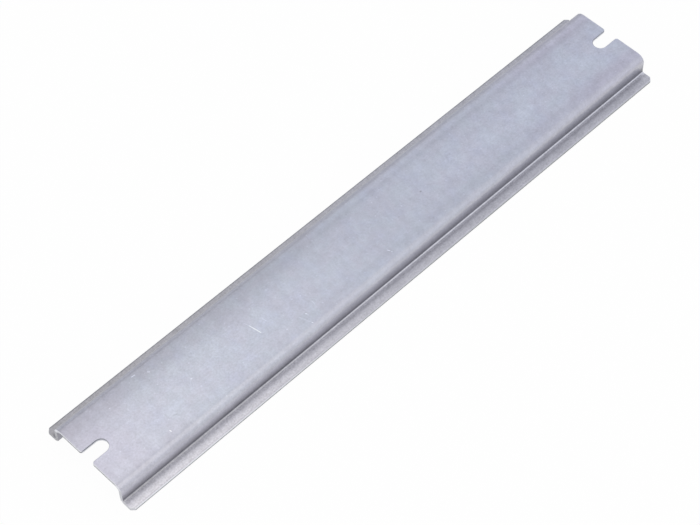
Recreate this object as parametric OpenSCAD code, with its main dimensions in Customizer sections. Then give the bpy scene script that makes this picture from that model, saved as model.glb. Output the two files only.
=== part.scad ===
// Top-hat mounting rail: one strip of zinc-plated steel, cold-rolled to a hat
// section and cropped to length, with an open screw slot in each end.
// It lies on its flanges with the crown up. X runs along the rail, Z is up, and
// the origin is at the middle of the plane that the flanges lie on.

/* [Rail] */
// Length of the rail
rail_length = 210; // [100:5:1000]
// Width over the two flanges
rail_width = 35; // [32:0.5:45]
// Height from the flanges' lower faces to the top of the crown
rail_height = 7.5; // [6:0.5:15]
// Thickness of the steel strip
sheet = 1; // [0.8:0.1:1.5]

/* [Hat section] */
// Width of the crown over the two walls
crown_width = 27; // [24:0.5:29]
// Inside radius of the bends between the crown and the walls
crown_bend = 1.5; // [0.5:0.1:2]
// Inside radius of the bends between the walls and the flanges
foot_bend = 0.5; // [0.2:0.1:1]

/* [End slots] */
// Width of the screw slot in each end
slot_width = 4.4; // [3:0.1:7]
// Distance from the end of the rail to the centre of the slot's round end
slot_centre = 5; // [3:0.5:20]
// Radius of the two corners at the slot's mouth
mouth_radius = 0.8; // [0.2:0.1:2]

/* [Corners] */
// How far the flanges' corners are cut back, at 45 degrees
corner_cut = 1; // [0.2:0.1:2]

/* [Hidden] */
$fn = 96;
// Outer faces of the walls, measured from the rail's middle plane
wall_face = crown_width / 2;
// Centre of the bend at the crown's edge, and of the one at the wall's foot
crown_bend_at = [wall_face - sheet - crown_bend, rail_height - sheet - crown_bend];
foot_bend_at = [wall_face + foot_bend, sheet + foot_bend];
// How far a cutter reaches past the metal that it cuts
past = 1;

// A quarter turn of the strip round the origin, in the first quadrant
module bend(inside_radius) {
    outside_radius = inside_radius + sheet;
    intersection() {
        difference() {
            circle(outside_radius);
            circle(inside_radius);
        }
        square(outside_radius + past);
    }
}

// Half of the hat section: half the crown, a bend, a wall, a bend and a flange
module half_section() {
    translate([0, rail_height - sheet]) square([crown_bend_at.x, sheet]);
    translate(crown_bend_at) bend(crown_bend);
    translate([wall_face - sheet, foot_bend_at.y]) square([sheet, crown_bend_at.y - foot_bend_at.y]);
    translate(foot_bend_at) rotate(180) bend(foot_bend);
    translate([foot_bend_at.x, 0]) square([rail_width / 2 - foot_bend_at.x, sheet]);
}

// The rolled bar before its ends are worked, along X
module rolled_bar() {
    rotate([90, 0, 90])
        linear_extrude(rail_length, center = true)
            for (side = [0, 1]) mirror([side, 0]) half_section();
}

// Plan of the slot in the +X end, with its round end, sides and rounded mouth
module slot_plan() {
    translate([rail_length / 2 - slot_centre, 0]) {
        circle(d = slot_width);
        translate([0, -slot_width / 2]) square([slot_centre + past, slot_width]);
    }
    for (side = [0, 1]) mirror([0, side])
        translate([rail_length / 2 - mouth_radius, slot_width / 2 + mouth_radius])
            difference() {
                translate([0, -2 * mouth_radius]) square(2 * mouth_radius);
                circle(mouth_radius);
            }
}

// Plan of the cuts at the two flange corners of the +X end
module corner_plan() {
    for (side = [-1, 1])
        translate([rail_length / 2, side * rail_width / 2]) circle(corner_cut, $fn = 4);
}

// What the press takes out of the +X end of the bar
module end_cuts() {
    translate([0, 0, -past])
        linear_extrude(rail_height + 2 * past) {
            slot_plan();
            corner_plan();
        }
}

module rail() {
    color([0.74, 0.75, 0.80])
        difference() {
            rolled_bar();
            for (end = [0, 1]) mirror([end, 0, 0]) end_cuts();
        }
}

rail();
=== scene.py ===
"""Looks of a short top-hat mounting rail in zinc-plated steel.

The rail is made as in the mill: a flat strip is cropped and slotted, then Geometry Nodes
roll it to the hat section. All sizes are in metres, in the frame of the CAD model, and the
zones of the finishes are in millimetres on the rail.
"""

import logging
import math
from dataclasses import dataclass
from enum import Enum
from typing import Any

import bpy
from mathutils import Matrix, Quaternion, Vector
from mathutils.geometry import delaunay_2d_cdt


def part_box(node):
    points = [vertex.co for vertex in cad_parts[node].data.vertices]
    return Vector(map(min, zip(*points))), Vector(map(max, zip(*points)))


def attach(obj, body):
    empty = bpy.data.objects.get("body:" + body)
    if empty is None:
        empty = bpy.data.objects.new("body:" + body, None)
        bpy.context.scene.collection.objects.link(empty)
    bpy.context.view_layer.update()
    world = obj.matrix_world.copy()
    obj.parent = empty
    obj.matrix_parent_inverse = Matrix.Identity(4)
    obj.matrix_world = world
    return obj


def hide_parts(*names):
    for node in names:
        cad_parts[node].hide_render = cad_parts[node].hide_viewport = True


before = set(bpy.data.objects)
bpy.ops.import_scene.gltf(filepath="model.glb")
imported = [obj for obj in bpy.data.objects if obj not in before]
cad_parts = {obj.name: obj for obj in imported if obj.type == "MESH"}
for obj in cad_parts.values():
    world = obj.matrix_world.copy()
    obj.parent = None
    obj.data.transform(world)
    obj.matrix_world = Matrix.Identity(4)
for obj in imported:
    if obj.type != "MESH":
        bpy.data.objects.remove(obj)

LOG = logging.getLogger("rail")
MM = 0.001
QUARTER_TURN = math.pi / 2
WHOLE_SCREEN = 255
ROUNDING_SLACK = 1e-6
MERGE_DISTANCE = 1e-9
FACES_INSIDE = 1

Colour = tuple[float, float, float, float]
Socket = bpy.types.NodeSocket


def display_colour(red: float, green: float, blue: float) -> Colour:
    """Turns a colour as a screen shows it, from 0 to 255, into the linear one that shaders take.

    Args:
        red: Red, from 0 to 255.
        green: Green, from 0 to 255.
        blue: Blue, from 0 to 255.

    Returns:
        The linear colour, with an alpha of 1.
    """

    def linear(value: float) -> float:
        """Undoes the screen's tone curve for one channel."""
        share = value / WHOLE_SCREEN
        return share / 12.92 if share <= 0.04045 else ((share + 0.055) / 1.055) ** 2.4

    return linear(red), linear(green), linear(blue), 1.0


# ---------------- node trees


class Graph:
    """A node tree under construction, for shaders and for geometry alike."""

    def __init__(self, tree: bpy.types.NodeTree) -> None:
        """Takes over an empty tree."""
        self.tree = tree

    def add(self, kind: str, inputs: dict[Any, Any] | None = None, **settings: Any) -> bpy.types.Node:
        """Adds one node.

        Args:
            kind: The node's type.
            inputs: Values or sockets to feed in, by the input's name or number.
            **settings: The node's own properties.

        Returns:
            The new node.
        """
        node = self.tree.nodes.new(kind)
        for name, value in settings.items():
            setattr(node, name, value)
        for key, value in (inputs or {}).items():
            if isinstance(value, Socket):
                self.tree.links.new(value, node.inputs[key])
            else:
                node.inputs[key].default_value = value
        return node

    def math(self, operation: str, *values: Any) -> Socket:
        """Adds a Math node on one to three values and returns its result."""
        return self.add("ShaderNodeMath", dict(enumerate(values)), operation=operation).outputs[0]

    def length(self, first: Any, second: Any) -> Socket:
        """Adds nodes for the hypotenuse over two numbers and returns it."""
        squares = [self.math("MULTIPLY", value, value) for value in (first, second)]
        return self.math("SQRT", self.math("ADD", *squares))

    def join(self, x: Any, y: Any, z: Any) -> Socket:
        """Adds a Combine XYZ node and returns its vector."""
        return self.add("ShaderNodeCombineXYZ", {"X": x, "Y": y, "Z": z}).outputs[0]

    def split(self, vector: Socket) -> tuple[Socket, ...]:
        """Adds a Separate XYZ node and returns its three numbers."""
        return tuple(self.add("ShaderNodeSeparateXYZ", {0: vector}).outputs)

    def ramp(self, value: Any, start: float, end: float, low: Any = 0.0, high: Any = 1.0) -> Socket:
        """Adds a soft step.

        Args:
            value: What the step depends on.
            start: The value at which the step begins.
            end: The value at which it ends.
            low: The result before the step.
            high: The result after it.

        Returns:
            The result's socket.
        """
        inputs = {0: value, 1: start, 2: end, 3: low, 4: high}
        return self.add("ShaderNodeMapRange", inputs, interpolation_type="SMOOTHSTEP").outputs[0]

    def line(self, value: Any, start: float, end: float, low: float, high: float) -> Socket:
        """Adds a straight slope, with the same meaning as in ramp."""
        return self.add("ShaderNodeMapRange", {0: value, 1: start, 2: end, 3: low, 4: high}).outputs[0]

    def mix(self, factor: Any, first: Any, second: Any) -> Socket:
        """Mixes two numbers by a factor and returns the result."""
        return self.add("ShaderNodeMix", {0: factor, 2: first, 3: second}, data_type="FLOAT").outputs[0]

    def blend(self, factor: Any, first: Any, second: Any, mode: str = "MIX") -> Socket:
        """Mixes two colours by a factor and returns the result."""
        inputs = {0: factor, 6: first, 7: second}
        return self.add("ShaderNodeMix", inputs, data_type="RGBA", blend_type=mode).outputs[2]

    def noise(self, vector: Any, scale: float, detail: float = 2.0, roughness: float = 0.5) -> Socket:
        """Adds a three-dimensional noise from 0 to 1 and returns it."""
        inputs = {"Vector": vector, "Scale": scale, "Detail": detail, "Roughness": roughness}
        return self.add("ShaderNodeTexNoise", inputs, noise_dimensions="3D").outputs[0]

    def scaled(self, vector: Any, factors: tuple[float, float, float]) -> Socket:
        """Stretches a vector by a factor along each axis and returns it."""
        return self.add("ShaderNodeVectorMath", {0: vector, 1: factors}, operation="MULTIPLY").outputs[0]


class Axis(Enum):
    """Directions on the rail along which a finish changes."""

    ALONG = "along the rail"
    ACROSS = "across it"
    UP = "up from the flanges' lower face"
    OFF_LINE = "away from the middle line"
    FROM_MIDDLE = "away from the middle of the length"
    IN_BEND = "away from the centre line of the crown's bends"


Places = dict[Axis, Socket]


def places_of(graph: Graph, position: Socket) -> Places:
    """Measures a position along the axes of the finishes.

    Args:
        graph: The tree under construction.
        position: The position, in metres.

    Returns:
        The place along each axis but IN_BEND, in millimetres.
    """
    x, y, z = graph.split(graph.scaled(position, (1 / MM, 1 / MM, 1 / MM)))
    return {
        Axis.ALONG: x,
        Axis.ACROSS: y,
        Axis.UP: z,
        Axis.OFF_LINE: graph.math("ABSOLUTE", y),
        Axis.FROM_MIDDLE: graph.math("ABSOLUTE", x),
    }


@dataclass(frozen=True)
class Step:
    """A soft step along one axis, in millimetres; it may start past its end."""

    axis: Axis
    start: float
    end: float
    low: float = 0.0
    high: float = 1.0

    def draw(self, graph: Graph, places: Places) -> Socket:
        """Adds the step's node and returns its value."""
        return graph.ramp(places[self.axis], self.start, self.end, self.low, self.high)


@dataclass(frozen=True)
class Hump:
    """A soft hump along one axis, in millimetres, down to nothing a width away from its centre."""

    axis: Axis
    centre: float
    width: float
    height: float = 1.0

    def draw(self, graph: Graph, places: Places) -> Socket:
        """Adds the hump's nodes and returns its value."""
        away = graph.math("ABSOLUTE", graph.math("SUBTRACT", places[self.axis], self.centre))
        return graph.ramp(away, 0.0, self.width, self.height, 0.0)


class Zone:
    """A named zone of a finish, as strong as the product of its steps and humps."""

    def __init__(self, name: str, *parts: Step | Hump) -> None:
        """Takes the zone's name and its parts."""
        self.name = name
        self.parts = parts

    def draw(self, graph: Graph, places: Places) -> Socket:
        """Adds the zone's nodes.

        Args:
            graph: The tree under construction.
            places: The place along each axis.

        Returns:
            The zone's strength.
        """
        strength = self.parts[0].draw(graph, places)
        for part in self.parts[1:]:
            strength = graph.math("MULTIPLY", strength, part.draw(graph, places))
        strength.node.label = self.name
        return strength


def taken_from(graph: Graph, tone: Any, zones: tuple[Zone, ...], places: Places) -> Socket:
    """Darkens a tone by the strength of each zone.

    Args:
        graph: The tree under construction.
        tone: The tone at the start.
        zones: The zones; a negative one brightens.
        places: The place along each axis.

    Returns:
        The tone that is left.
    """
    for zone in zones:
        tone = graph.math("SUBTRACT", tone, zone.draw(graph, places))
    return tone


# ---------------- sizes


@dataclass(frozen=True)
class HatSection:
    """Sizes of the rolled section."""

    length: float
    width: float
    height: float
    sheet: float = 1.0 * MM
    crown_width: float = 27.0 * MM
    crown_bend: float = 1.5 * MM
    foot_bend: float = 0.5 * MM

    @classmethod
    def of_node(cls, node: str) -> "HatSection":
        """Takes the overall sizes from a CAD node's box."""
        low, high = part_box(node)
        return cls(*(high - low))

    @property
    def stretches(self) -> list[float]:
        """Lengths of the sheet's middle layer: half crown, bend, wall, bend and flange."""
        return [
            self.crown_width / 2 - self.sheet - self.crown_bend,
            QUARTER_TURN * (self.crown_bend + self.sheet / 2),
            self.height - 2 * self.sheet - self.crown_bend - self.foot_bend,
            QUARTER_TURN * (self.foot_bend + self.sheet / 2),
            (self.width - self.crown_width) / 2 - self.foot_bend,
        ]

    @property
    def half_strip(self) -> float:
        """Half of the flat strip's width."""
        return sum(self.stretches)


@dataclass(frozen=True)
class EndWork:
    """Sizes of the slot and the cut corners at each end."""

    slot_width: float = 4.4 * MM
    slot_centre: float = 5.0 * MM
    mouth_radius: float = 0.8 * MM
    corner_cut: float = 1.0 * MM


# ---------------- the flat strip


def arc(centre: Vector, radius: float, start: float, end: float, steps: int) -> list[Vector]:
    """Points on an arc.

    Args:
        centre: The arc's centre.
        radius: Its radius.
        start: The angle of the first point, in quarter turns.
        end: The angle of the last point, in quarter turns.
        steps: How many pieces the arc is cut into.

    Returns:
        The points, both ends among them.
    """
    angles = [QUARTER_TURN * (start + (end - start) * i / steps) for i in range(steps + 1)]
    return [centre + radius * Vector((math.cos(a), math.sin(a))) for a in angles]


def spaced(corners: list[Vector], spacing: float) -> list[Vector]:
    """Puts points on the sides of a closed outline.

    Args:
        corners: The outline's corners.
        spacing: How far apart the points are at most.

    Returns:
        The corners and the points between them.
    """
    points = []
    for here, after in zip(corners, corners[1:] + corners[:1]):
        parts = max(1, math.ceil((after - here).length / spacing - ROUNDING_SLACK))
        points += [here.lerp(after, i / parts) for i in range(parts)]
    return points


@dataclass
class FlatStrip:
    """The strip before rolling: X along the rail, Y across the strip, Z from its middle layer."""

    section: HatSection
    ends: EndWork
    spacing: float = 0.9 * MM
    edge_radius: float = 0.13 * MM
    edge_steps: int = 3
    mouth_steps: int = 6
    slot_steps: int = 24
    band_steps: tuple[int, ...] = (10, 12, 4, 8, 4)
    support_inset: float = 1.6
    clear_inset: float = 3.2

    def outline(self) -> list[Vector]:
        """Corners of the cropped and slotted strip, anticlockwise."""
        tip, side = self.section.length / 2, self.section.half_strip
        cut, mouth = self.ends.corner_cut, self.ends.mouth_radius
        half_slot = self.ends.slot_width / 2
        inner = tip - self.ends.slot_centre
        end = [Vector((tip - cut, -side)), Vector((tip, cut - side))]
        end += arc(Vector((tip - mouth, -half_slot - mouth)), mouth, 0, 1, self.mouth_steps)
        end += arc(Vector((inner, 0)), half_slot, -1, -3, self.slot_steps)
        end += arc(Vector((tip - mouth, half_slot + mouth)), mouth, -1, 0, self.mouth_steps)
        end += [Vector((tip, side - cut)), Vector((tip - cut, side))]
        return end + [-point for point in end]

    def clearance(self, point: Vector) -> float:
        """Measures how far a point of the strip is from the nearest edge.

        Args:
            point: The point, on the flat strip.

        Returns:
            The distance; negative outside the strip.
        """
        x, y = abs(point.x), abs(point.y)
        tip, side, cut = self.section.length / 2, self.section.half_strip, self.ends.corner_cut
        half_slot, inner = self.ends.slot_width / 2, tip - self.ends.slot_centre
        mouth = self.ends.mouth_radius
        to_slot = y - half_slot if x > inner else math.hypot(x - inner, y) - half_slot
        found = [tip - x, side - y, (tip + side - cut - x - y) / math.sqrt(2), to_slot]
        if x > tip - mouth and y < half_slot + mouth:
            found.append(mouth - math.hypot(x - tip + mouth, y - half_slot - mouth))
        return min(found)

    def cross_stations(self) -> list[float]:
        """Places across the strip where the mesh has lines, close together in the bends."""
        stations, start = [0.0], 0.0
        for stretch, steps in zip(self.section.stretches, self.band_steps):
            stations += [start + stretch * (i + 1) / steps for i in range(steps)]
            start += stretch
        return sorted({-s for s in stations} | set(stations))

    def inner_points(self, margin: float) -> list[Vector]:
        """Lays a grid on the strip.

        Args:
            margin: How far the grid stays away from the strip's edges.

        Returns:
            The grid's points.
        """
        columns = math.ceil(self.section.length / self.spacing)
        places = [self.section.length * (i / columns - 0.5) for i in range(columns + 1)]
        grid = [Vector((x, y)) for x in places for y in self.cross_stations()]
        return [point for point in grid if self.clearance(point) > margin]

    @staticmethod
    def inward(loop: list[Vector]) -> list[Vector]:
        """Finds the way inwards from each point of the outline.

        Args:
            loop: The outline's points, anticlockwise.

        Returns:
            For each point the step that moves both sides next to it inwards by 1.
        """
        steps = []
        for before, here, after in zip(loop[-1:] + loop[:-1], loop, loop[1:] + loop[:1]):
            first, second = (here - before).normalized(), (after - here).normalized()
            normals = Vector((-first.y, first.x)), Vector((-second.y, second.x))
            steps.append((normals[0] + normals[1]) / (1 + normals[0].dot(normals[1])))
        return steps

    def mesh(self) -> bpy.types.Mesh:
        """Builds the closed strip with rounded edges, its cut faces marked in an attribute."""
        loop = spaced(self.outline(), self.spacing)
        count, inward = len(loop), self.inward(loop)
        radius, half = self.edge_radius, self.section.sheet / 2
        flat = [p + n * inset * radius for inset in (1, self.support_inset) for p, n in zip(loop, inward)]
        flat += self.inner_points(self.clear_inset * radius)
        rim = [list(range(count))]
        flat, _, faces, *_ = delaunay_2d_cdt(flat, [], rim, FACES_INSIDE, MERGE_DISTANCE)
        layers = [(p.x, p.y, side * half) for side in (1, -1) for p in flat]
        start = len(flat)
        loops = [list(range(count))]
        levels = 2 * self.edge_steps + 1
        for level in range(1, levels):
            side = 1 if level <= self.edge_steps else -1
            turn = QUARTER_TURN * min(level, levels - level) / self.edge_steps
            inset, height = radius * (1 - math.sin(turn)), half - radius * (1 - math.cos(turn))
            loops.append(list(range(len(layers), len(layers) + count)))
            layers += [(*(p + n * inset), side * height) for p, n in zip(loop, inward)]
        loops.append(list(range(start, start + count)))
        top = [tuple(face) for face in faces]
        bottom = [tuple(start + i for i in reversed(face)) for face in faces]
        walls = []
        for upper, lower in zip(loops, loops[1:]):
            for i in range(count):
                j = (i + 1) % count
                walls.append((upper[i], lower[i], lower[j], upper[j]))
        mesh = bpy.data.meshes.new("flat_strip")
        mesh.from_pydata(layers, [], top + bottom + walls)
        mesh.validate()
        mark = mesh.attributes.new(RollForming.CUT_FACE, "BOOLEAN", "FACE")
        mark.data.foreach_set("value", [False] * (2 * len(faces)) + [True] * len(walls))
        return mesh


# ---------------- roll forming


@dataclass
class RollForming:
    """Geometry Nodes that bend a flat strip to the hat section."""

    section: HatSection
    relief: float = 0.03 * MM
    relief_scale: float = 110.0
    relief_stretch: float = 0.35
    relief_turn: float = 2.5
    seed: int = 7
    fillet_steps: int = 96
    overrun: float = 0.01 * MM

    CUT_FACE = "cut_face"
    LAST_CROWN_CORNER = 1
    SIZES = ("Width", "Height", "Sheet", "Crown width", "Crown bend", "Foot bend", "Relief", "Seed")
    FINISHES = ("Sheet finish", "Cut finish")

    def tree(self) -> bpy.types.NodeTree:
        """Builds the node tree, with the section's sizes as named inputs."""
        tree = bpy.data.node_groups.new("roll_forming", "GeometryNodeTree")
        tree.interface.new_socket("Geometry", in_out="INPUT", socket_type="NodeSocketGeometry")
        for name in self.SIZES:
            tree.interface.new_socket(name, in_out="INPUT", socket_type="NodeSocketFloat")
        for name in self.FINISHES:
            tree.interface.new_socket(name, in_out="INPUT", socket_type="NodeSocketMaterial")
        tree.interface.new_socket("Geometry", in_out="OUTPUT", socket_type="NodeSocketGeometry")
        graph = Graph(tree)
        given = graph.add("NodeGroupInput").outputs
        half_sheet = graph.math("MULTIPLY", given["Sheet"], 0.5)
        line = self._hat_line(graph, given, half_sheet)
        inputs = {"Geometry": given["Geometry"], "Position": self._rolled_place(graph, given, line)}
        formed = graph.add("GeometryNodeSetPosition", inputs).outputs[0]
        formed = graph.add("GeometryNodeSetShadeSmooth", {"Geometry": formed}).outputs[0]
        formed = graph.add("GeometryNodeRealizeInstances", {"Geometry": formed}).outputs[0]
        inputs = {"Geometry": formed, "Material": given["Sheet finish"]}
        formed = graph.add("GeometryNodeSetMaterial", inputs).outputs[0]
        named = {"Name": self.CUT_FACE}
        cut = graph.add("GeometryNodeInputNamedAttribute", named, data_type="BOOLEAN").outputs[0]
        inputs = {"Geometry": formed, "Selection": cut, "Material": given["Cut finish"]}
        formed = graph.add("GeometryNodeSetMaterial", inputs).outputs[0]
        graph.add("NodeGroupOutput", {0: formed})
        return tree

    def _rolled_place(self, graph: Graph, given: Any, line: Socket) -> Socket:
        """Lays each point of the strip on the hat section's middle line, at its own depth.

        Args:
            graph: The tree under construction.
            given: The tree's input sockets.
            line: The middle line.

        Returns:
            The point's new position.
        """
        along, across, depth = graph.split(graph.add("GeometryNodeInputPosition").outputs[0])
        depth = graph.math("ADD", depth, self._relief(graph, given, along, across))
        inputs = {"Curves": line, "Length": graph.math("ABSOLUTE", across)}
        sample = graph.add("GeometryNodeSampleCurve", inputs, mode="LENGTH", use_all_curves=True)
        _, line_y, line_z = graph.split(sample.outputs["Position"])
        _, run_y, run_z = graph.split(sample.outputs["Tangent"])
        y = graph.math("SUBTRACT", line_y, graph.math("MULTIPLY", depth, run_z))
        y = graph.math("MULTIPLY", y, graph.math("SIGN", across))
        z = graph.math("ADD", line_z, graph.math("MULTIPLY", depth, run_y))
        return graph.join(along, y, z)

    def _hat_line(self, graph: Graph, given: Any, half_sheet: Socket) -> Socket:
        """Draws the middle layer from the crown's centre to past the flange's edge, its corners rounded.

        Args:
            graph: The tree under construction.
            given: The tree's input sockets.
            half_sheet: Half of the sheet's thickness.

        Returns:
            The curve, in the plane X = 0.
        """
        top = graph.math("SUBTRACT", given["Height"], half_sheet)
        wall = graph.math("SUBTRACT", graph.math("MULTIPLY", given["Crown width"], 0.5), half_sheet)
        edge = graph.math("MULTIPLY_ADD", given["Width"], 0.5, self.overrun)
        index = graph.add("GeometryNodeInputIndex").outputs[0]
        places = [(0.0, top), (wall, top), (wall, half_sheet), (edge, half_sheet)]
        corners = graph.add("GeometryNodeIndexSwitch", data_type="VECTOR")
        while len(corners.index_switch_items) < len(places):
            corners.index_switch_items.new()
        graph.tree.links.new(index, corners.inputs[0])
        for number, (y, z) in enumerate(places, start=1):
            graph.tree.links.new(graph.join(0.0, y, z), corners.inputs[number])
        inputs = {"Count": len(places), "Position": corners.outputs[0]}
        points = graph.add("GeometryNodePoints", inputs).outputs[0]
        inputs = {"Points": points, "Weight": index}
        line = graph.add("GeometryNodePointsToCurves", inputs).outputs[0]
        at_crown = graph.math("LESS_THAN", index, self.LAST_CROWN_CORNER + 0.5)
        bend = graph.add("GeometryNodeSwitch", {"Switch": at_crown}, input_type="FLOAT")
        graph.tree.links.new(given["Foot bend"], bend.inputs["False"])
        graph.tree.links.new(given["Crown bend"], bend.inputs["True"])
        radius = graph.math("ADD", bend.outputs[0], half_sheet)
        inputs = {"Curve": line, "Count": self.fillet_steps, "Radius": radius}
        return graph.add("GeometryNodeFilletCurve", inputs, mode="POLY").outputs[0]

    def _relief(self, graph: Graph, given: Any, along: Any, across: Any) -> Socket:
        """Shallow unevenness of rolled sheet: hollows in the crown, rises in the flanges.

        Args:
            graph: The tree under construction.
            given: The tree's input sockets.
            along: Place along the rail.
            across: Place across the strip.

        Returns:
            How far the sheet is moved along its own normal.
        """
        place = graph.join(graph.math("MULTIPLY", along, self.relief_stretch), across, given["Seed"])
        swell = graph.noise(place, self.relief_scale, 1.0)
        crown, bend = self.section.stretches[:2]
        past_bend = crown + self.relief_turn * bend
        sense = graph.ramp(graph.math("ABSOLUTE", across), crown, past_bend, -1.0, 1.0)
        return graph.math("MULTIPLY", graph.math("MULTIPLY", swell, given["Relief"]), sense)

    def apply(
        self, strip: bpy.types.Object, sheet_finish: bpy.types.Material, cut_finish: bpy.types.Material
    ) -> None:
        """Rolls the strip and leaves a plain mesh.

        Args:
            strip: The flat strip's object.
            sheet_finish: Material of the rolled faces.
            cut_finish: Material of the cut faces.
        """
        hat = self.section
        sizes = (hat.width, hat.height, hat.sheet, hat.crown_width, hat.crown_bend, hat.foot_bend)
        sizes += (self.relief, float(self.seed), sheet_finish, cut_finish)
        values = dict(zip(self.SIZES + self.FINISHES, sizes))
        modifier = strip.modifiers.new("roll_forming", "NODES")
        modifier.node_group = self.tree()
        for item in modifier.node_group.interface.items_tree:
            if item.in_out == "INPUT" and item.name in values:
                modifier[item.identifier] = values[item.name]
        depsgraph = bpy.context.evaluated_depsgraph_get()
        rolled = bpy.data.meshes.new_from_object(strip.evaluated_get(depsgraph), depsgraph=depsgraph)
        strip.modifiers.remove(modifier)
        strip.data = rolled


# ---------------- finishes


def metal(name: str) -> tuple[bpy.types.Material, Graph, bpy.types.Node]:
    """Makes a metal material with a plain shader.

    Args:
        name: The material's name.

    Returns:
        The material, its tree and its shader node.
    """
    material = bpy.data.materials.new(name)
    material.use_nodes = True
    graph = Graph(material.node_tree)
    shader = material.node_tree.nodes["Principled BSDF"]
    shader.inputs["Metallic"].default_value = 1.0
    return material, graph, shader


@dataclass(frozen=True)
class Mark:
    """A scratch or speck on the crown, from one point to another, in millimetres."""

    start: tuple[float, float]
    end: tuple[float, float]
    width: float
    depth: float

    CORE = 0.3
    BLUR = 1.2

    def draw(self, graph: Graph, places: Places) -> Socket:
        """Adds the mark's nodes.

        Args:
            graph: The tree under construction.
            places: The place along each axis.

        Returns:
            How much the mark brightens the plating; negative where it darkens it.
        """
        (ax, ay), (bx, by) = self.start, self.end
        length = math.hypot(bx - ax, by - ay)
        ux, uy = (bx - ax) / length, (by - ay) / length
        dx = graph.math("SUBTRACT", places[Axis.ALONG], ax)
        dy = graph.math("SUBTRACT", places[Axis.ACROSS], ay)
        run = graph.math("ADD", graph.math("MULTIPLY", dx, ux), graph.math("MULTIPLY", dy, uy))
        beside = graph.math("SUBTRACT", graph.math("MULTIPLY", dy, ux), graph.math("MULTIPLY", dx, uy))
        nearest = graph.math("MINIMUM", graph.math("MAXIMUM", run, 0.0), length)
        away = graph.length(beside, graph.math("SUBTRACT", run, nearest))
        return graph.ramp(away, self.CORE * self.width, self.BLUR * self.width, self.depth, 0.0)


@dataclass(frozen=True)
class Specks:
    """Scattered specks: cells to the metre, and how much a speck brightens the plating."""

    scale: float
    depth: float

    DOT = (0.04, 0.12)
    RARE = 0.6

    def draw(self, graph: Graph, position: Socket) -> Socket:
        """Adds the specks' nodes.

        Args:
            graph: The tree under construction.
            position: The position, in metres.

        Returns:
            How much they brighten the plating.
        """
        inputs = {"Vector": position, "Scale": self.scale}
        cells = graph.add("ShaderNodeTexVoronoi", inputs, voronoi_dimensions="2D")
        chance, _, _ = graph.split(cells.outputs["Color"])
        spot = graph.ramp(cells.outputs["Distance"], *self.DOT, self.depth, 0.0)
        return graph.math("MULTIPLY", spot, graph.ramp(chance, self.RARE, 1.0))


@dataclass(frozen=True)
class Texture:
    """A noise in the plating's tone; its reach is a base and the steps on it."""

    scale: tuple[float, float, float]
    detail: float
    roughness: float
    base: float
    steps: tuple[Step, ...] = ()

    SPREAD = 3.0

    def draw(self, graph: Graph, position: Socket) -> Socket:
        """Adds the noise and returns it."""
        return graph.noise(graph.scaled(position, self.scale), 1.0, self.detail, self.roughness)

    def share(self, graph: Graph, value: Socket, places: Places) -> Socket:
        """Turns the noise into the share of the tone that it leaves.

        Args:
            graph: The tree under construction.
            value: The noise.
            places: The place along each axis.

        Returns:
            A factor round 1.
        """
        reach = self.base
        for step in self.steps:
            reach = graph.math("ADD", reach, step.draw(graph, places))
        swing = graph.math("MULTIPLY", graph.math("SUBTRACT", value, 0.5), self.SPREAD)
        return graph.math("MULTIPLY_ADD", swing, reach, 1.0)


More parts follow.
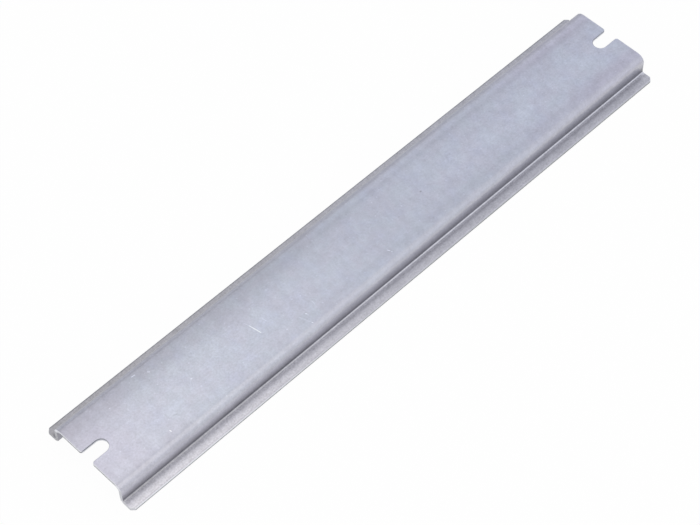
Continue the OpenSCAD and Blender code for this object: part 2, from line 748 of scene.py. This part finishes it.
@dataclass(frozen=True)
class ZincFinish:
    """Satin zinc plating on cold-rolled strip, with painted light and shade in its tone."""

    section: HatSection
    lilac: Colour = display_colour(204, 206, 220)
    green: Colour = display_colour(202, 207, 220)
    blue: Colour = display_colour(200, 205, 225)
    end_lilac: Colour = display_colour(206, 203, 219)
    side_grey: Colour = display_colour(202, 202, 210)
    roughness: float = 0.38
    roughness_swing: float = 0.05
    grain_height: float = 0.01 * MM
    grain_strength: float = 0.5

    PATCHES = Texture((130.0, 130.0, 130.0), 4.0, 0.6, 0.05, (Step(Axis.ALONG, 0, 60, 0, 0.01),))
    CLOUDS = Texture((420.0, 294.0, 420.0), 4.0, 0.7, 0.10, (Step(Axis.ALONG, 0, 60, 0, 0.02),))
    GRAIN = Texture(
        (1700.0, 1700.0, 1700.0),
        3.0,
        0.7,
        0.10,
        (
            Step(Axis.OFF_LINE, 13, 14.2, 0.0, 0.14),
            Step(Axis.ALONG, -60, -20, 0.06, 0.0),
            Step(Axis.ALONG, 0, 60, 0.0, 0.03),
        ),
    )
    STREAKS = Texture((12.0, 2200.0, 2200.0), 2.0, 0.5, 0.015)
    SHADES = (160.0 * MM, 4.0, 0.6)
    SHADE_SLICE = 300.0
    SHADE_SPREAD = (0.4, 0.75, 0.0, 0.5)
    PATCH_SPREAD = (0.38, 0.62)
    GRAIN_SPREAD = (0.2, 0.8)

    # Painted shade on the outer walls: darker towards the foot, with darker bands near the top, over the
    # foot and along two stretches of the length.
    WALL_SHADE = Step(Axis.UP, 0.9, 5.3, 0.36, 0.99)
    WALL_PAINTED_SHADE = (
        Zone("painted shade near the wall's top", Hump(Axis.UP, 6.0, 0.9, 0.08)),
        Zone("painted shade over the foot", Hump(Axis.UP, 1.6, 1.3), Step(Axis.ALONG, -95, -50, 0.03, 0.09)),
        Zone("less of it past the middle", Hump(Axis.UP, 1.6, 1.3, -1.0), Step(Axis.ALONG, 0, 30, 0, 0.07)),
        Zone("shaded near stretch", Hump(Axis.ALONG, -50, 55, 0.048), Step(Axis.UP, 5.2, 6.6, 1, 0)),
        Zone("shaded far stretch", Hump(Axis.ALONG, 80, 22, 0.035), Step(Axis.UP, 5.2, 6.6, 1, 0)),
    )
    # Painted light and shade on the flanges: painted highlights at the near end, on the foot's bend, on the
    # outer crest and in the middle; painted shade in the crease, beside the foot, towards the near end and
    # on the outer lip.
    FLANGE_PAINTED_LIGHT_AND_SHADE = (
        Zone("bright near end", Step(Axis.ALONG, -100, 40, -0.20, 0), Step(Axis.ACROSS, -12, -13)),
        Zone("bright foot", Hump(Axis.OFF_LINE, 14.05, 0.7, -0.24), Step(Axis.ALONG, -60, 0, 0.42, 1)),
        Zone("painted shade beside the foot", Hump(Axis.OFF_LINE, 14.9, 0.8, 0.10)),
        Zone("shaded near foot", Step(Axis.ALONG, -120, -10, 0.25, 0), Step(Axis.OFF_LINE, 14.2, 15.2, 1, 0)),
        Zone("painted shade in the foot's crease", Hump(Axis.OFF_LINE, 13.72, 0.33, 0.42), Step(Axis.ALONG, -75, 30, 1, 0)),
        Zone("shaded back corner", Step(Axis.ALONG, -110, -40, 0.10, 0), Step(Axis.ACROSS, 13.3, 13.6)),
        Zone("worn lip", Hump(Axis.ACROSS, -17.2, 0.3, 0.18), Step(Axis.ALONG, -60, 20, 1, 0.1)),
        Zone("bright crest", Hump(Axis.ACROSS, -17.4, 0.25, -0.2), Step(Axis.ALONG, -30, 30)),
        Zone("bright middle", Hump(Axis.ALONG, 15, 45, -0.035), Step(Axis.ACROSS, -14.8, -15.3)),
        Zone("bright far lip", Step(Axis.ACROSS, -16.9, -17.2), Step(Axis.ALONG, -30, 30, 0, -0.06)),
    )
    # Painted light and shade across the section: painted shade towards the back, on the back rim and in
    # bands beside the crown's bends; painted highlights on the back bend, the back flange and the crown.
    OVERALL_PAINTED_LIGHT_AND_SHADE = (
        Zone("broad shade", Step(Axis.ACROSS, 0, 11, -0.06, 0.17), Step(Axis.ALONG, -40, 20, 1, 0)),
        Zone("bright back bend", Hump(Axis.ACROSS, 11.9, 0.7, -0.2), Step(Axis.ALONG, -40, 20, 1, 0)),
        Zone("shaded back", Step(Axis.ACROSS, 11.6, 13, 0, 0.205), Step(Axis.ALONG, -40, 20)),
        Zone("back bend", Step(Axis.ACROSS, 12, 12.8, 0, 0.05)),
        Zone("painted light on the back flange", Step(Axis.ACROSS, 14.5, 15.5, 0, -0.14), Step(Axis.ALONG, -40, 20)),
        Zone("back rim", Step(Axis.ACROSS, 17.05, 17.25, 0, 0.3)),
        Zone("back band", Hump(Axis.ACROSS, 8.8, 1.6, 0.075), Step(Axis.ALONG, -40, 10)),
        Zone("painted light on the crown", Hump(Axis.ACROSS, -1.5, 9, -0.07), Step(Axis.ALONG, 0, 40)),
        Zone("front band", Hump(Axis.ACROSS, -9.6, 1.6, 0.05), Step(Axis.ALONG, -80, -30)),
        Zone("front ridge", Hump(Axis.ACROSS, -11.6, 1.9), Step(Axis.ALONG, -95, -30, 0.11, 0.05)),
        Zone("front bend", Hump(Axis.ACROSS, -12.2, 0.8, 0.02)),
        Zone("painted light behind the middle", Hump(Axis.ACROSS, 5.5, 2.5, -0.018)),
    )
    FOOT_TO_WALL = Step(Axis.UP, 1.12, 1.4)
    CROWN_FACE = Step(Axis.UP, 7.0, 7.3)
    HIDDEN_BEND = Step(Axis.IN_BEND, 1.9, 2.1, 1, 0)
    HIDDEN_FOOT = Step(Axis.UP, 0.3, 0.5, 1, 0)
    HIDDEN_TONE = Step(Axis.OFF_LINE, 11, 12.3, 0.92, 0.7)
    FAR_END_LILAC = Zone("far end", Step(Axis.OFF_LINE, 6, 10), Step(Axis.ALONG, 40, 95, 0, 0.65))
    NEAR_END_LILAC = Step(Axis.ALONG, -100, -75, 0.5, 0)
    GREY_BACK = Step(Axis.ACROSS, 10.5, 11.9)
    BLUE_BACK = Zone("bluer back bend", Hump(Axis.ACROSS, 12.9, 2.2), Step(Axis.ALONG, -50, 60, 0.25, 0.8))
    GREY_FRONT = (Step(Axis.ACROSS, -11.2, -12.4, 0, 0.5), Step(Axis.ACROSS, -13.3, -13.5, 0, 0.5))

    SPECKS = (Specks(380.0, 0.15), Specks(300.0, -0.08))
    MARKS = (
        Mark((-46.0, -0.1), (-45.3, -3.85), 0.17, 0.5),
        Mark((-46.4, 1.4), (-46.0, -0.1), 0.14, 0.15),
        Mark((-41.8, -0.6), (-41.6, -2.1), 0.15, 0.15),
        Mark((-34.4, -7.6), (-33.0, -11.5), 0.14, 0.12),
        Mark((-33.0, -11.4), (-32.9, -11.6), 0.17, 0.4),
        Mark((-32.3, -8.0), (-32.1, -8.3), 0.18, 0.45),
        Mark((-39.6, -8.1), (-39.4, -8.2), 0.18, 0.25),
        Mark((-28.1, -6.2), (-28.2, -7.4), 0.15, 0.15),
        Mark((-79.9, 10.4), (-78.9, 10.3), 0.18, 0.4),
        Mark((-90.7, 7.1), (-90.5, 7.1), 0.2, 0.3),
        Mark((-75.8, 8.6), (-75.4, 8.2), 0.18, 0.35),
        Mark((-83.9, -9.4), (-83.8, -9.9), 0.2, 0.6),
        Mark((-69.0, -1.4), (-68.8, -1.5), 0.2, 0.4),
        Mark((-0.9, -8.8), (-0.6, -9.5), 0.16, 0.45),
        Mark((-0.5, -10.0), (-0.3, -10.1), 0.16, 0.3),
        Mark((-70.4, -3.6), (-69.4, -2.0), 0.2, -0.1),
        Mark((-80.0, -6.6), (-79.2, -7.0), 0.3, -0.12),
        Mark((20.6, -1.0), (20.8, -1.0), 0.3, -0.3),
    )

    def material(self) -> bpy.types.Material:
        """Builds the material."""
        material, graph, shader = metal("satin_zinc")
        position = graph.add("ShaderNodeTexCoord").outputs["Object"]
        places = places_of(graph, position)
        places[Axis.IN_BEND] = self._bend_reach(graph, places)
        textures = (self.PATCHES, self.CLOUDS, self.GRAIN, self.STREAKS)
        noises = [texture.draw(graph, position) for texture in textures]
        tone = self._painted_light_and_shade(graph, places)
        for texture, noise in zip(textures, noises):
            tone = graph.math("MULTIPLY", tone, texture.share(graph, noise, places))
        scars, on_crown = self._scars(graph, position, places), self.CROWN_FACE.draw(graph, places)
        tone = graph.math("MULTIPLY_ADD", scars, on_crown, tone)
        hue = self._hue(graph, places, noises[0])
        colour = graph.blend(1.0, hue, graph.join(tone, tone, tone), "MULTIPLY")
        graph.tree.links.new(colour, shader.inputs["Base Color"])
        self._gloss(graph, shader, noises[2])
        return material

    def _bend_reach(self, graph: Graph, places: Places) -> Socket:
        """Measures how far the surface is from the centre line of the crown's bends.

        Args:
            graph: The tree under construction.
            places: The place along each axis.

        Returns:
            The distance, in millimetres.
        """
        outer_bend = self.section.crown_bend + self.section.sheet
        centre_up = (self.section.height - outer_bend) / MM
        centre_out = (self.section.crown_width / 2 - outer_bend) / MM
        over = graph.math("MAXIMUM", graph.math("SUBTRACT", places[Axis.UP], centre_up), 0.0)
        out = graph.math("MAXIMUM", graph.math("SUBTRACT", places[Axis.OFF_LINE], centre_out), 0.0)
        return graph.length(over, out)

    def _hue(self, graph: Graph, places: Places, patches: Socket) -> Socket:
        """Colours the plating: drifting blues on the crown, lilac at its ends and grey on the sides.

        Args:
            graph: The tree under construction.
            places: The place along each axis.
            patches: The noise of the broad patches.

        Returns:
            The colour at full tone.
        """
        along, across = places[Axis.ALONG], places[Axis.ACROSS]
        shades = graph.noise(graph.join(across, along, self.SHADE_SLICE), *self.SHADES)
        crown = graph.blend(graph.ramp(patches, *self.PATCH_SPREAD), self.lilac, self.green)
        crown = graph.blend(graph.ramp(shades, *self.SHADE_SPREAD), crown, self.blue)
        ends = self.FAR_END_LILAC.draw(graph, places), self.NEAR_END_LILAC.draw(graph, places)
        crown = graph.blend(graph.math("MAXIMUM", *ends), crown, self.end_lilac)
        parts = self.GREY_BACK.draw(graph, places), self.BLUE_BACK.draw(graph, places)
        back = graph.math("SUBTRACT", *parts)
        front = graph.math("ADD", *(part.draw(graph, places) for part in self.GREY_FRONT))
        return graph.blend(graph.math("MAXIMUM", back, front), crown, self.side_grey)

    def _painted_light_and_shade(self, graph: Graph, places: Places) -> Socket:
        """Sets the plating's tone with painted light and shade: darker down the walls and in the creases,
        lighter and darker bands along and across the rail, and a set tone on the insides.

        Args:
            graph: The tree under construction.
            places: The place along each axis.

        Returns:
            The tone, 1 where no light or shade is painted.
        """
        wall = taken_from(graph, self.WALL_SHADE.draw(graph, places), self.WALL_PAINTED_SHADE, places)
        flange = taken_from(graph, 1.0, self.FLANGE_PAINTED_LIGHT_AND_SHADE, places)
        tone = graph.mix(self.FOOT_TO_WALL.draw(graph, places), flange, wall)
        tone = taken_from(graph, tone, self.OVERALL_PAINTED_LIGHT_AND_SHADE, places)
        # The insides and the faces next to the floor take a set tone in place of the painted light and
        # shade: 0.92 under the crown, 0.7 towards the walls and flanges.
        insides = self.HIDDEN_BEND.draw(graph, places), self.HIDDEN_FOOT.draw(graph, places)
        return graph.mix(graph.math("MAXIMUM", *insides), tone, self.HIDDEN_TONE.draw(graph, places))

    def _scars(self, graph: Graph, position: Socket, places: Places) -> Socket:
        """Adds up the scratches and specks.

        Args:
            graph: The tree under construction.
            position: The position, in metres.
            places: The place along each axis.

        Returns:
            How much they brighten the plating.
        """
        total = 0.0
        for mark in self.MARKS:
            total = graph.math("ADD", total, mark.draw(graph, places))
        for specks in self.SPECKS:
            total = graph.math("ADD", total, specks.draw(graph, position))
        return total

    def _gloss(self, graph: Graph, shader: bpy.types.Node, grain: Socket) -> None:
        """Gives the shader its satin gloss, uneven with the grain.

        Args:
            graph: The tree under construction.
            shader: The material's shader node.
            grain: The noise of the grain.
        """
        smooth, rough = self.roughness - self.roughness_swing, self.roughness + self.roughness_swing
        uneven = graph.line(grain, *self.GRAIN_SPREAD, smooth, rough)
        graph.tree.links.new(uneven, shader.inputs["Roughness"])
        inputs = {"Height": grain, "Distance": self.grain_height, "Strength": self.grain_strength}
        graph.tree.links.new(graph.add("ShaderNodeBump", inputs).outputs[0], shader.inputs["Normal"])


@dataclass(frozen=True)
class CutFinish:
    """Sheared steel at the ends, in the slots and along the strip's edges."""

    section: HatSection
    # The strip's cut edges go from the bright colour at the near end to the grey one below at the far end:
    # painted light and shade along the rail.
    bright: Colour = display_colour(236, 237, 243)
    painted_shade: Colour = display_colour(197, 198, 205)
    # Torn steel; along the lower edges this dark also serves as painted shadow where the rail meets the
    # floor.
    torn: Colour = display_colour(90, 91, 97)
    # The slot walls' upper band: the sheared face, darkened as painted shade, most on the +Y wall.
    punched_and_shadowed: Colour = display_colour(160, 162, 172)
    pale: Colour = display_colour(240, 241, 246)
    cropped: Colour = display_colour(200, 201, 205)
    roughness: float = 0.5

    RAISED = Step(Axis.UP, 5.0, 6.4)
    # The lower band of the cut faces: torn steel, darkened as painted shadow next to the floor.
    TORN_AND_SHADOWED_EDGE = Step(Axis.UP, 0.34, 0.58, 1, 0)
    TORN_CROWN = Zone(
        "torn part of the crown's end",
        Step(Axis.UP, 6.3, 6.45),
        Step(Axis.UP, 6.85, 7.25, 1, 0),
        Step(Axis.OFF_LINE, 10.5, 12, 1, 0),
    )
    FAR_EDGE_SHADE = Step(Axis.ALONG, -100, 40)
    CLEAN_FRONT = Step(Axis.ACROSS, -11, -12, 0, 0.6)
    # The slot walls' upper band, strongest on the +Y wall: sheared face with painted shade.
    PUNCHED_AND_SHADOWED = Zone(
        "punched part of the slot",
        Step(Axis.UP, 6.95, 7.15),
        Step(Axis.ACROSS, -1.5, 1.5, 0.4, 1),
    )
    STREAKS = (2500.0, 2500.0, 200.0)
    STREAK_SPREAD = (0.3, 0.7, 0.75, 1.0)
    FLECKS = (1500.0, 3.0, 0.7)
    FLECK_SPREAD = (0.35, 0.6, 0.35, 0.0)
    CALM = 0.9
    END_BAND = (1.2, 0.8)
    SLOT_BAND = (0.6, 0.2)

    def material(self) -> bpy.types.Material:
        """Builds the material: a bright upper part and a torn lower one, darkened along the lower edges as
        painted shadow where the rail meets the floor.
        """
        material, graph, shader = metal("sheared_steel")
        position = graph.add("ShaderNodeTexCoord").outputs["Object"]
        places = places_of(graph, position)
        raised = self.RAISED.draw(graph, places)
        at_end = self._past(self.END_BAND).draw(graph, places)
        # Painted light and shade along the rail on the cut edges.
        edge = graph.blend(self.FAR_EDGE_SHADE.draw(graph, places), self.bright, self.painted_shade)
        edge = graph.blend(at_end, edge, self._cropped_colour(graph, position, places, raised))
        # Torn steel, with painted shadow along the lower edges.
        torn = self._torn_and_shadowed_share(graph, position, places)
        calm = graph.math("MULTIPLY", at_end, graph.math("MULTIPLY_ADD", raised, -self.CALM, self.CALM))
        torn = graph.math("MULTIPLY", torn, graph.math("SUBTRACT", 1.0, calm))
        colour = graph.blend(torn, edge, self.torn)
        in_slot = graph.math("SUBTRACT", 1.0, self._past(self.SLOT_BAND).draw(graph, places))
        # The slot's walls: pale below, and the upper band darkened as painted shade.
        punched_and_shadowed = graph.blend(self.PUNCHED_AND_SHADOWED.draw(graph, places), self.pale, self.punched_and_shadowed)
        colour = graph.blend(graph.math("MULTIPLY", in_slot, raised), colour, punched_and_shadowed)
        graph.tree.links.new(colour, shader.inputs["Base Color"])
        shader.inputs["Roughness"].default_value = self.roughness
        return material

    def _past(self, band: tuple[float, float]) -> Step:
        """Makes a step towards both ends, from its start to its end short of the tips."""
        tip = self.section.length / 2 / MM
        return Step(Axis.FROM_MIDDLE, tip - band[0], tip - band[1])

    def _torn_and_shadowed_share(self, graph: Graph, position: Socket, places: Places) -> Socket:
        """Finds where the shears tore the sheet; the torn band along the lower edges also stands for
        painted shadow where the rail meets the floor.

        Args:
            graph: The tree under construction.
            position: The position, in metres.
            places: The place along each axis.

        Returns:
            How dark the face is, from 0 to 1: torn steel, and painted shadow along the lower edges.
        """
        parts = self.TORN_AND_SHADOWED_EDGE.draw(graph, places), self.TORN_CROWN.draw(graph, places)
        streaks = graph.noise(graph.scaled(position, self.STREAKS), 1.0)
        broken = graph.ramp(streaks, *self.STREAK_SPREAD)
        return graph.math("MULTIPLY", graph.math("MAXIMUM", *parts), broken)

    def _cropped_colour(self, graph: Graph, position: Socket, places: Places, raised: Socket) -> Socket:
        """Colours the cropped ends: flecked at the back, cleaner on the crown and at the front.

        Args:
            graph: The tree under construction.
            position: The position, in metres.
            places: The place along each axis.
            raised: How much the place belongs to the crown.

        Returns:
            The colour.
        """
        flecks = graph.ramp(graph.noise(position, *self.FLECKS), *self.FLECK_SPREAD)
        clean = graph.math("MAXIMUM", raised, self.CLEAN_FRONT.draw(graph, places))
        return graph.blend(clean, graph.blend(flecks, self.cropped, self.torn), self.bright)


# ---------------- the rail


@dataclass
class Rail:
    """The rail as one formed piece."""

    node: str
    body: str
    slot: str

    def build(self) -> bpy.types.Object:
        """Makes the formed rail, dresses it and ties it to the frame."""
        section = HatSection.of_node(self.node)
        strip = FlatStrip(section, EndWork())
        piece = bpy.data.objects.new("formed_rail", strip.mesh())
        bpy.context.scene.collection.objects.link(piece)
        RollForming(section).apply(piece, ZincFinish(section).material(), CutFinish(section).material())
        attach(piece, self.body)
        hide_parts(self.node)
        return piece


# ---------------- studio


@dataclass(frozen=True)
class Camera:
    """Where the camera stands and how it is turned."""

    target: tuple[float, float, float] = (-9.5 * MM, -2.5 * MM, 3.75 * MM)
    distance: float = 599.3 * MM
    heading: float = 45.26
    elevation: float = 54.31
    roll: float = -0.27
    lens: float = 109.12
    clip: tuple[float, float] = (0.01, 20.0)

    def build(self) -> bpy.types.Object:
        """Makes the camera and puts it in the scene."""
        data = bpy.data.cameras.new("camera")
        data.lens = self.lens
        data.clip_start, data.clip_end = self.clip
        camera = bpy.data.objects.new("camera", data)
        bpy.context.scene.collection.objects.link(camera)
        heading, elevation = math.radians(self.heading), math.radians(self.elevation)
        flat = Vector((math.cos(heading), math.sin(heading), 0))
        forward = flat * math.cos(elevation) - Vector((0, 0, math.sin(elevation)))
        camera.location = Vector(self.target) - forward * self.distance
        camera.rotation_mode = "QUATERNION"
        roll = Quaternion((0, 0, 1), math.radians(self.roll))
        camera.rotation_quaternion = forward.to_track_quat("-Z", "Y") @ roll
        bpy.context.scene.camera = camera
        return camera


class Softbox(Enum):
    """Where the lamps hang: place, aim, width, depth, and strength in watts."""

    KEY = ((-0.06, 0.18, 0.60), (-0.1, 0.0, 0.0), 0.45, 0.40, 0.30)
    FRONT = ((0.0, -0.32, 0.55), (-0.1, 0.0, 0.0), 0.35, 0.25, 0.14)
    LOW = ((0.0, -0.45, 0.30), (-0.1, 0.0, 0.0), 0.25, 0.20, 0.06)


@dataclass
class Studio:
    """Floor, surroundings, lamps and camera."""

    floor_size: float = 6.0
    floor_gap: float = 0.02 * MM
    paper: Colour = (0.9, 0.9, 0.9, 1.0)
    glow_share: float = 0.97
    mirrored_share: float = 0.55
    lamp_colour: tuple[float, float, float] = (1.0, 0.93, 0.78)
    plain_light: Colour = (1.0, 1.0, 1.0, 1.0)
    cool_light: Colour = (0.98, 1.0, 1.07, 1.0)

    FRONT_WALL = Step(Axis.ACROSS, -0.6, 0.1, 0.14, 0)
    ROOM = Step(Axis.ACROSS, 0.3, 0.8, 0.76, 0.62)
    COOL_SIDES = (Step(Axis.ALONG, 0.2, 0.6), Step(Axis.ACROSS, 0.3, 0.8))

    def build(self) -> None:
        """Makes everything round the rail."""
        self._world()
        self._floor()
        for box in Softbox:
            self._lamp(box)
        Camera().build()
        bpy.context.scene.view_settings.view_transform = "Standard"

    def _world(self) -> None:
        """Surrounds the rail with a pale room, whose steps go by direction."""
        world = bpy.data.worlds.new("studio")
        bpy.context.scene.world = world
        world.use_nodes = True
        graph = Graph(world.node_tree)
        x, y, _ = graph.split(graph.add("ShaderNodeTexCoord").outputs["Generated"])
        places = {Axis.ALONG: x, Axis.ACROSS: y}
        level = graph.math("ADD", self.FRONT_WALL.draw(graph, places), self.ROOM.draw(graph, places))
        cool = graph.math("MAXIMUM", *(side.draw(graph, places) for side in self.COOL_SIDES))
        tint = graph.blend(cool, self.plain_light, self.cool_light)
        colour = graph.blend(1.0, graph.join(level, level, level), tint, "MULTIPLY")
        graph.tree.links.new(colour, world.node_tree.nodes["Background"].inputs["Color"])

    def _floor(self) -> None:
        """Lays a white floor under the rail, which keeps the rail's shadow."""
        half = self.floor_size / 2
        mesh = bpy.data.meshes.new("floor")
        corners = [(-half, -half), (half, -half), (half, half), (-half, half)]
        mesh.from_pydata([(x, y, -self.floor_gap) for x, y in corners], [], [(0, 1, 2, 3)])
        floor = bpy.data.objects.new("floor", mesh)
        bpy.context.scene.collection.objects.link(floor)
        material = bpy.data.materials.new("white_floor")
        material.use_nodes = True
        graph = Graph(material.node_tree)
        nodes = material.node_tree.nodes
        nodes.remove(nodes["Principled BSDF"])
        path = graph.add("ShaderNodeLightPath").outputs
        mirrored = graph.math("MAXIMUM", path["Is Glossy Ray"], path["Is Transmission Ray"])
        share = graph.math("MULTIPLY", path["Is Camera Ray"], self.glow_share)
        share = graph.math("MAXIMUM", share, graph.math("MULTIPLY", mirrored, self.mirrored_share))
        paper = graph.add("ShaderNodeBsdfDiffuse", {"Color": self.paper}).outputs[0]
        glow = graph.add("ShaderNodeEmission", {"Strength": 1.0}).outputs[0]
        both = graph.add("ShaderNodeMixShader", {0: share, 1: paper, 2: glow}).outputs[0]
        graph.tree.links.new(both, nodes["Material Output"].inputs["Surface"])
        mesh.materials.append(material)

    def _lamp(self, box: Softbox) -> None:
        """Hangs one soft lamp.

        Args:
            box: Its place, aim, size and strength.
        """
        place, aim, width, depth, watts = box.value
        data = bpy.data.lights.new(box.name.lower(), "AREA")
        data.shape, data.size, data.size_y, data.energy = "RECTANGLE", width, depth, watts
        data.color = self.lamp_colour
        lamp = bpy.data.objects.new(box.name.lower(), data)
        lamp.location = place
        lamp.rotation_mode = "QUATERNION"
        lamp.rotation_quaternion = (Vector(aim) - Vector(place)).to_track_quat("-Z", "Y")
        bpy.context.scene.collection.objects.link(lamp)


def main() -> None:
    """Builds the studio and the rail."""
    logging.basicConfig(level=logging.INFO)
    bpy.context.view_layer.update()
    Studio().build()
    piece = Rail(node="rail", body="root", slot="zinc_plated_steel").build()
    LOG.info("%s: %d faces", piece.name, len(piece.data.polygons))


if __name__ == "__main__":
    main()
